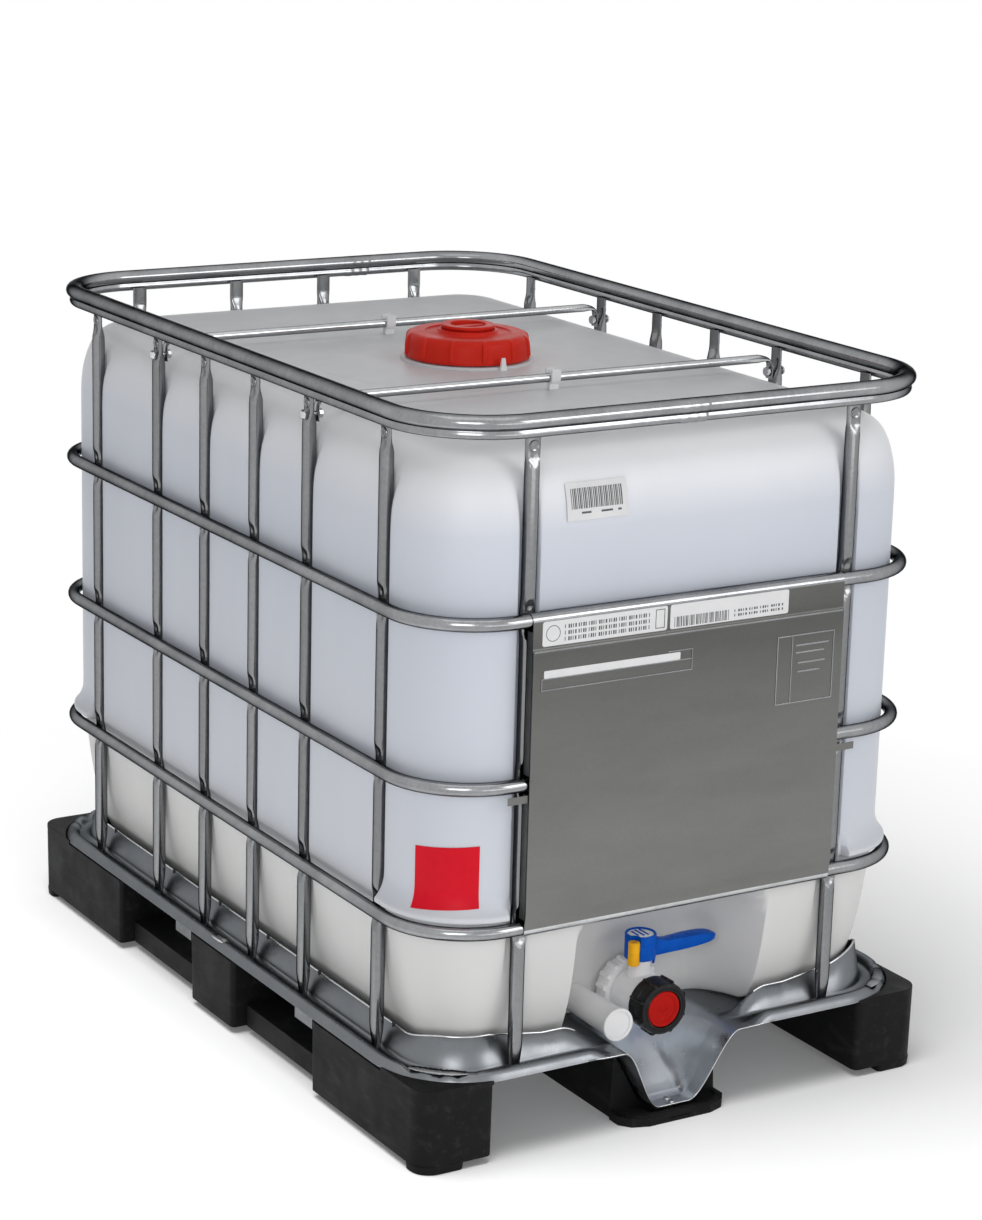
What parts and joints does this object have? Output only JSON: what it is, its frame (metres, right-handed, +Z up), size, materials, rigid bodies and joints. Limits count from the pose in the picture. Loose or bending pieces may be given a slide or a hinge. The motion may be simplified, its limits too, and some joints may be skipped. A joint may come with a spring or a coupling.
{
  "type": "intermediate bulk container",
  "caption": "Plastic bottle in a galvanised tube cage on a black pallet with a steel pan, a screw lid on top and a lever valve with a screw cap at the front.",
  "frame": {"origin": "on the floor, in the middle of the footprint", "axes": "+Z up, +X to the right along the valve side, +Y from the valve side to the back"},
  "size_m": [0.8, 1.2, 0.978],
  "materials": {
    "steel": "galvanised, semi-bright",
    "plate_steel": "dull rolled sheet",
    "zinc_screw": "zinc plated",
    "milky_plastic": "translucent blow-moulded polyethylene, satin",
    "white_plastic": "satin",
    "black_plastic": "moulded, matt",
    "cap_black": "satin",
    "lid_red": "semi-gloss",
    "seal_red": "semi-gloss",
    "lever_blue": "semi-gloss",
    "lock_yellow": "semi-gloss",
    "rubber": "soft, matt"
  },
  "bodies": {
    "container": {"bottle": "milky_plastic", "base_pan": "steel", "top_rim": "steel", "hoop_lower": "steel", "hoop_middle": "steel", "hoop_upper": "steel", "upright_left_1": "steel", "upright_left_2": "steel", "upright_left_3": "steel", "upright_left_4": "steel", "upright_left_5": "steel", "upright_left_6": "steel", "upright_right_1": "steel", "upright_right_2": "steel", "upright_right_3": "steel", "upright_right_4": "steel", "upright_right_5": "steel", "upright_right_6": "steel", "upright_front_1": "steel", "upright_front_2": "steel", "upright_back_1": "steel", "upright_back_2": "steel", "upright_back_3": "steel", "upright_back_4": "steel", "tie_bar_front": "steel", "tie_bar_rear": "steel", "tie_screw_1": "zinc_screw", "tie_screw_2": "zinc_screw", "tie_screw_3": "zinc_screw", "tie_screw_4": "zinc_screw", "bar_clip_front": "white_plastic", "bar_clip_rear": "white_plastic", "label_plate": "plate_steel", "runner_left": "black_plastic", "runner_right": "black_plastic", "runner_centre": "black_plastic", "bracket_left_1": "steel", "bracket_left_2": "steel", "bracket_right_1": "steel", "bracket_right_2": "steel", "trough_screw_1": "zinc_screw", "trough_screw_2": "zinc_screw", "lid_catch": "white_plastic", "valve_body": "white_plastic", "valve_gasket": "rubber", "coupling_nut": "white_plastic", "discharge_spout": "white_plastic"},
    "lid_seal_body": {"lid_seal": "rubber"},
    "lid_body": {"lid": "lid_red"},
    "plug_seal_body": {"plug_seal": "rubber"},
    "plug_body": {"plug": "lid_red"},
    "lever_body": {"lever": "lever_blue", "valve_stem": "white_plastic", "valve_disc": "white_plastic"},
    "lock_body": {"lock_screw": "lock_yellow"},
    "outlet_seal_body": {"outlet_seal": "seal_red"},
    "outlet_cap_body": {"outlet_cap": "cap_black"}
  },
  "joints": [
    {"name": "lid_lift", "type": "slide", "parent": "container", "child": "lid_seal_body", "axis": [0, 0, 1], "range_m": [0, 0.0241]},
    {"name": "lid_turn", "type": "hinge", "parent": "lid_seal_body", "child": "lid_body", "pos_m": [0, 0, 0.93], "axis": [0, 0, 1], "range_deg": [0, 1440]},
    {"name": "plug_lift", "type": "slide", "parent": "lid_body", "child": "plug_seal_body", "axis": [0, 0, 1], "range_m": [0, 0.0201]},
    {"name": "plug_turn", "type": "hinge", "parent": "plug_seal_body", "child": "plug_body", "pos_m": [0, 0, 0.9705], "axis": [0, 0, 1], "range_deg": [0, 1440]},
    {"name": "lever_turn", "type": "hinge", "parent": "container", "child": "lever_body", "pos_m": [0, -0.49, 0.14], "axis": [0, 0, -1], "range_deg": [0, 90]},
    {"name": "lock_slide", "type": "slide", "parent": "lever_body", "child": "lock_body", "axis": [0, 0, 1], "range_m": [0, 0.01]},
    {"name": "cap_advance", "type": "slide", "parent": "container", "child": "outlet_seal_body", "axis": [0, -1, 0], "range_m": [0, 0.0181]},
    {"name": "cap_turn", "type": "hinge", "parent": "outlet_seal_body", "child": "outlet_cap_body", "pos_m": [0, -0.545, 0.14], "axis": [0, -1, 0], "range_deg": [0, 1080]}
  ],
  "couplings": [
    {"joint": "lid_lift", "follows": "lid_turn", "m_per_rad": 0.00095493},
    {"joint": "plug_lift", "follows": "plug_turn", "m_per_rad": 0.00079577},
    {"joint": "cap_advance", "follows": "cap_turn", "m_per_rad": 0.00095493}
  ]
}
